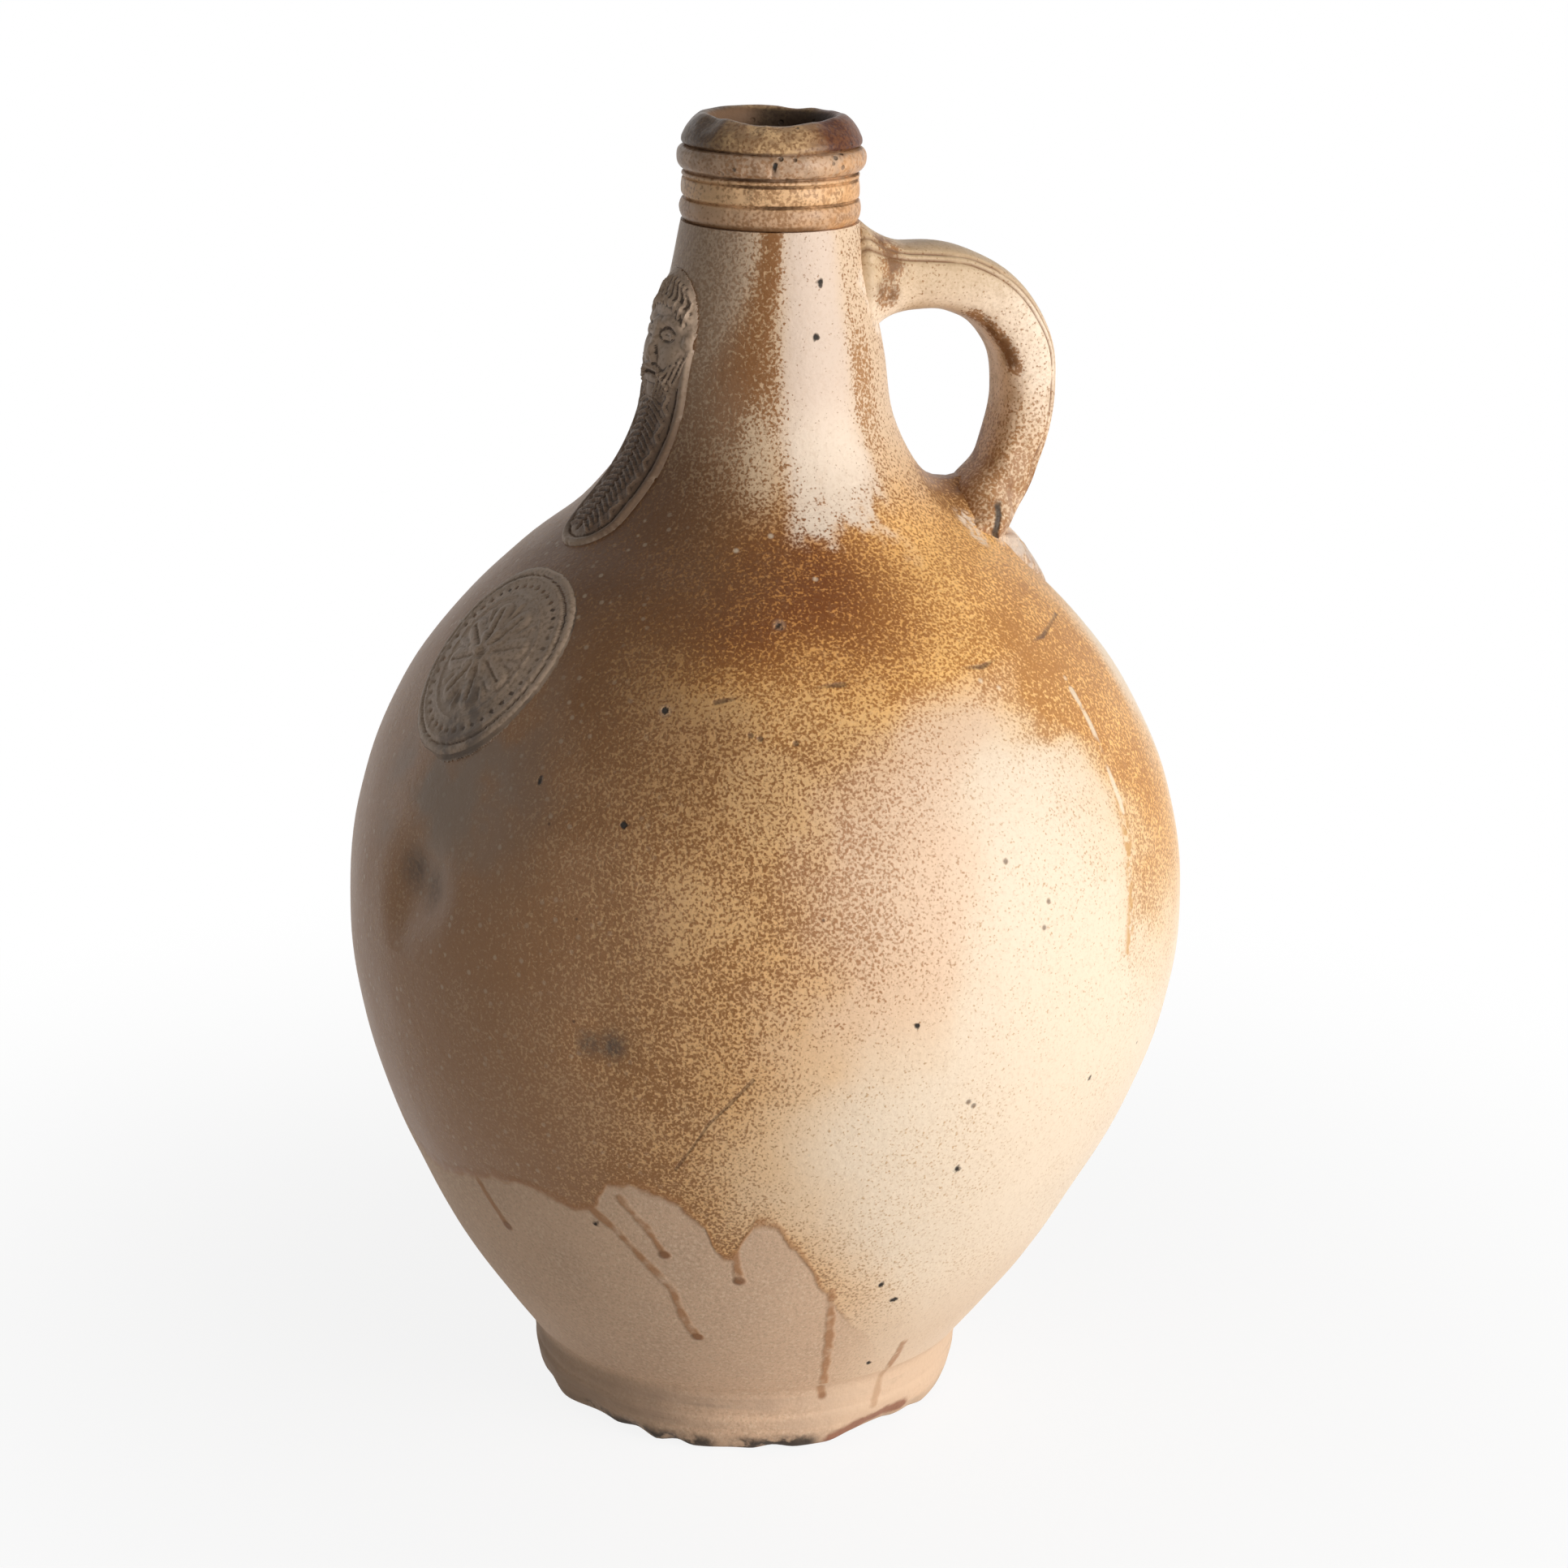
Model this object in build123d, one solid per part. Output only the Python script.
from build123d import *
import os
from math import atan2, degrees, radians, tan

os.makedirs("parts", exist_ok=True)

# A salt-glazed stoneware jug, in millimetres and degrees. The handle is along +X, the mask along -X.

# Foot and floor
foot_radius = 51.6
foot_ledge = 1.8
foot_height = 20.0
foot_width = 8.6
foot_bevel = 1.6
floor_gap = 2.5
floor_thickness = 9.0
floor_inset = 3.0

# Outline of the thrown wall: the points that it passes through, each height taken from the point below
belly_base_radius = 57.0
lower_belly_radius = 83.8
lower_belly_height = 42.0
belly_radius = 102.6
belly_height = 69.0
upper_belly_radius = 91.0
upper_belly_height = 47.0
shoulder_radius = 61.1
shoulder_height = 36.0
neck_base_radius = 32.9
neck_base_height = 28.0
neck_radius = 25.3
neck_middle_height = 32.0
neck_top_radius = 20.4
neck_top_height = 21.0
wall = 6.0

# Luted joints: the rims are bevelled, and slip fills a thin gap at the round seats.
# The neck's joint is measured from the shoulder's point.
joint_bevel = 20.0
neck_joint_height = 24.0
slip_gap = 0.1

# Collar, lip and mouth
mouth_radius = 13.5
tube_radius = 17.2
groove_radius = 20.2
low_cordon_radius = 21.4
low_cordon_height = 5.6
middle_cordon_radius = 21.1
middle_cordon_height = 6.2
top_cordon_radius = 22.3
top_cordon_height = 5.8
lip_crest_radius = 15.9
lip_slant = 20.0
lip_height = 7.4
lip_round = 3.4

# Handle: a strap, thick at the neck and thin at the shoulder, where it lands above the shoulder's point
handle_width = 20.0
handle_root_thickness = 17.0
handle_end_thickness = 11.5
handle_edge_round = 4.5
handle_below_collar = 14.4
handle_reach = 64.8
handle_bend = 21.5
handle_back_drop = 27.5
handle_landing_height = 7.5
handle_landing_lean = 24.0
tail_length = 25.0
tail_width = 16.0
tail_thickness = 4.2
tail_below_landing = 6.5

# Moulded reliefs: the face is placed from the neck's base, the beard's tip from the shoulder's point
# and the medallion from the upper belly's point
mask_turn = 8.0
face_width = 25.0
face_length = 34.0
face_relief = 2.8
face_height = 26.5
nose_width = 6.5
nose_length = 11.0
nose_relief = 1.4
beard_width = 25.5
beard_tip_width = 23.5
beard_tip_height = 10.0
beard_relief = 2.4
medallion_width = 50.0
medallion_length = 56.0
medallion_height = 21.0
medallion_turn = 15.0
medallion_relief = 1.8
medallion_border = 5.0
medallion_border_relief = 2.8

# How finely the outline and the handle's line are sampled when they are moved sideways
outline_steps = 24
handle_steps = 12
search_step = 1e-9
same_length = 1e-3

# Heights above the table
lower_belly_z = foot_height + lower_belly_height
belly_z = lower_belly_z + belly_height
upper_belly_z = belly_z + upper_belly_height
shoulder_z = upper_belly_z + shoulder_height
neck_base_z = shoulder_z + neck_base_height
neck_middle_z = neck_base_z + neck_middle_height
neck_top_z = neck_middle_z + neck_top_height
landing_z = shoulder_z + handle_landing_height
face_z = neck_base_z + face_height
beard_tip_z = shoulder_z + beard_tip_height
medallion_z = upper_belly_z + medallion_height

foot_top_radius = belly_base_radius - foot_ledge
seat_radius = foot_radius - foot_width
floor_radius = seat_radius - floor_inset
floor_height = floor_gap + floor_thickness
collar_height = low_cordon_height + middle_cordon_height + top_cordon_height
lip_seat_height = neck_top_z + collar_height
height = lip_seat_height + lip_height
neck_wall = neck_top_radius - mouth_radius
reach = 2 * belly_radius


def at(radius, z):
    """A point of the half section that is turned about the jug's axis."""
    return Vector(0, radius, z)


outline = Spline(
    at(belly_base_radius, foot_height),
    at(lower_belly_radius, lower_belly_z),
    at(belly_radius, belly_z),
    at(upper_belly_radius, upper_belly_z),
    at(shoulder_radius, shoulder_z),
    at(neck_base_radius, neck_base_z),
    at(neck_radius, neck_middle_z),
    at(neck_top_radius, neck_top_z),
)


def moved_outline(bottom_inset, top_inset):
    """Points of the outline moved square to itself, inwards where the inset is positive."""
    points = []
    for step in range(outline_steps + 1):
        share = step / outline_steps
        inset = bottom_inset + (top_inset - bottom_inset) * share
        point, along = outline @ share, outline % share
        points.append(at(point.Y - inset * along.Z, point.Z + inset * along.Y))
    return points


def outline_place(z):
    """Point and upward direction of the outline at height z, on the handle's side."""
    low, high = 0.0, 1.0
    while high - low > search_step:
        middle = (low + high) / 2
        if (outline @ middle).Z < z:
            low = middle
        else:
            high = middle
    point, along = outline @ low, outline % low
    return Vector(point.Y, 0, point.Z), Vector(along.Y, 0, along.Z)


def turned(*edges):
    """Solid turned about the jug's axis from a closed half section."""
    return revolve(make_face(edges), axis=Axis.Z)


def filled(points):
    """Solid inside an outline that is given by its points, closed to the axis."""
    bottom, top = points[0], points[-1]
    end = Polyline(top, at(0, top.Z), at(0, bottom.Z), bottom)
    return turned(Spline(*points), end)


core = turned(
    outline,
    Polyline(outline @ 1, at(0, neck_top_z), at(0, foot_height), outline @ 0),
)


def below_joint(z):
    """Everything under a bevelled joint whose outer edge is at height z."""
    slope = tan(radians(joint_bevel))
    radius = outline_place(z)[0].X
    rim = Polyline(
        at(0, z + radius * slope),
        at(reach, z - (reach - radius) * slope),
        at(reach, -reach),
        at(0, -reach),
        close=True,
    )
    return turned(rim)


# Thrown wall, one hollow form that the bevelled joints divide
inner_points = moved_outline(wall, neck_wall)[:-1] + [at(mouth_radius, neck_top_z)]
inner_line = Spline(*inner_points)
wall_solid = turned(
    Polyline(
        at(0, floor_gap),
        at(seat_radius - slip_gap, floor_gap),
        at(seat_radius - slip_gap, foot_height),
        outline @ 0,
    ),
    outline,
    Polyline(
        outline @ 1,
        at(tube_radius, neck_top_z),
        at(tube_radius, lip_seat_height),
        at(mouth_radius, lip_seat_height),
        at(mouth_radius, neck_top_z),
    ),
    inner_line,
    Polyline(inner_line @ 0, at(floor_radius, floor_height), at(0, floor_height), at(0, floor_gap)),
)
under_belly_joint = below_joint(belly_z)
under_neck_joint = below_joint(shoulder_z + neck_joint_height)
belly = wall_solid & under_belly_joint
shoulder = (wall_solid & under_neck_joint) - under_belly_joint
neck = wall_solid - under_neck_joint

# Standing ring that the belly's plug sits in
foot_ring = turned(
    Polyline(
        at(seat_radius, 0),
        at(foot_radius - foot_bevel, 0),
        at(foot_radius, foot_bevel),
        at(foot_top_radius, foot_height),
        at(seat_radius, foot_height),
        close=True,
    )
)

# Cordoned strip round the tube
low_groove = neck_top_z + low_cordon_height
high_groove = low_groove + middle_cordon_height


def cordon(radius, bottom, top):
    """Round bulge of the collar between two grooves."""
    return ThreePointArc(
        at(groove_radius, bottom), at(radius, (bottom + top) / 2), at(groove_radius, top)
    )


collar_inside = tube_radius + slip_gap
collar = turned(
    cordon(low_cordon_radius, neck_top_z, low_groove),
    cordon(middle_cordon_radius, low_groove, high_groove),
    cordon(top_cordon_radius, high_groove, lip_seat_height),
    Polyline(
        at(groove_radius, lip_seat_height),
        at(collar_inside, lip_seat_height),
        at(collar_inside, neck_top_z),
        at(groove_radius, neck_top_z),
    ),
)

# Rolled rim with the mouth
mouth_round_height = height - lip_round
lip = turned(
    Polyline(
        at(mouth_radius, mouth_round_height),
        at(mouth_radius, lip_seat_height),
        at(groove_radius, lip_seat_height),
    ),
    Spline(
        at(groove_radius, lip_seat_height),
        at(lip_crest_radius, height),
        tangents=(at(-tan(radians(lip_slant)), 1), at(-1, 0)),
    ),
    Spline(
        at(lip_crest_radius, height),
        at(mouth_radius, mouth_round_height),
        tangents=(at(-1, 0), at(0, -1)),
    ),
)

# Strap handle: its side face runs from inside the neck to inside the shoulder and is cut at the wall
handle_height = neck_top_z - handle_below_collar
landing = outline_place(landing_z)[0]
lean = Vector(0, 0, -1).rotate(Axis.Y, handle_landing_lean)
handle_line = Spline(
    (mouth_radius, 0, handle_height),
    (handle_reach - handle_bend, 0, handle_height),
    (handle_reach, 0, handle_height - handle_back_drop),
    landing,
    landing + lean * handle_root_thickness,
    tangents=(Vector(1, 0, 0), lean),
)


def handle_side(side):
    """Outer or inner edge of the handle's side face, for side 1 or -1."""
    points = []
    for step in range(handle_steps + 1):
        share = step / handle_steps
        taper = (handle_end_thickness - handle_root_thickness) * share
        half = side * (handle_root_thickness + taper) / 2
        point, along = handle_line @ share, handle_line % share
        points.append(Vector(point.X - half * along.Z, 0, point.Z + half * along.X))
    return Spline(*points)


outer_side, inner_side = handle_side(1), handle_side(-1)
side_face = make_face(
    [outer_side, inner_side, Line(outer_side @ 0, inner_side @ 0), Line(outer_side @ 1, inner_side @ 1)]
)
strap = extrude(side_face, amount=handle_width / 2, dir=(0, 1, 0), both=True)
long_edges = [edge for edge in strap.edges() if abs(edge.length - outer_side.length) < same_length]
long_edges += [edge for edge in strap.edges() if abs(edge.length - inner_side.length) < same_length]
handle = fillet(long_edges, handle_edge_round) - core


def lens(place, along, length, width, thickness):
    """Ellipsoid with its length along the wall's slope and its thickness square to the wall."""
    slope = degrees(atan2(along.X, along.Z))
    ball = scale(Sphere(0.5), by=(thickness, width, length))
    return Pos(place.X, 0, place.Z) * Rot(0, slope, 0) * ball


# Wad of clay pressed over the handle's lower end
tail_place, tail_along = outline_place(landing_z - tail_below_landing)
handle_tail = lens(tail_place, tail_along, tail_length, tail_width, 2 * tail_thickness) - core - handle

# Moulded head on the neck
to_front = Rot(0, 0, 180 + mask_turn)
face_place, face_along = outline_place(face_z)
face_dome = lens(face_place, face_along, face_length, face_width, 2 * face_relief)
nose_place = Vector(face_place.X + face_relief, 0, face_place.Z)
nose = lens(nose_place, face_along, nose_length, nose_width, 2 * nose_relief)
face_mask = to_front * (face_dome + nose) - core

# Tongue of hair under the head
beard_shell = filled(moved_outline(-beard_relief, -beard_relief)) - core
beard_tip_radius = beard_tip_width / 2
beard_round_height = beard_tip_z + beard_tip_radius
beard_outline = make_face(
    [
        Polyline(
            (0, beard_tip_radius, beard_round_height),
            (0, beard_width / 2, face_z),
            (0, -beard_width / 2, face_z),
            (0, -beard_tip_radius, beard_round_height),
        ),
        ThreePointArc(
            (0, -beard_tip_radius, beard_round_height),
            (0, 0, beard_tip_z),
            (0, beard_tip_radius, beard_round_height),
        ),
    ]
)
beard_column = extrude(beard_outline, amount=belly_radius, dir=(1, 0, 0))
beard = (beard_shell & to_front * beard_column) - face_mask

# Moulded oval below the beard, with a raised border
medallion_place, medallion_along = outline_place(medallion_z)
facing = Vector(medallion_along.Z, 0, -medallion_along.X)
oval_plane = Plane(medallion_place, x_dir=(0, 1, 0), z_dir=facing)


def oval(inset):
    """Column of oval section, square to the wall."""
    face = oval_plane * Ellipse(medallion_width / 2 - inset, medallion_length / 2 - inset)
    return extrude(face, amount=medallion_width / 2, both=True)


field_shell = filled(moved_outline(-medallion_relief, -medallion_relief)) - core
border_shell = filled(moved_outline(-medallion_border_relief, -medallion_border_relief)) - core
border = border_shell & (oval(0) - oval(medallion_border))
field = field_shell & oval(0)
medallion = Rot(0, 0, 180 + medallion_turn) * (border + field) - beard

pieces = {
    "foot_ring": foot_ring,
    "belly": belly,
    "shoulder": shoulder,
    "neck": neck,
    "collar": collar,
    "lip": lip,
    "handle": handle,
    "handle_tail": handle_tail,
    "face_mask": face_mask,
    "beard": beard,
    "medallion": medallion,
}
for name, piece in pieces.items():
    export_step(piece, f"parts/{name}.step")
    print(name, len(piece.solids()), round(piece.volume / 1000, 2), "cm3")
print("height", round(height, 1), "belly diameter", round(2 * belly_radius, 1))
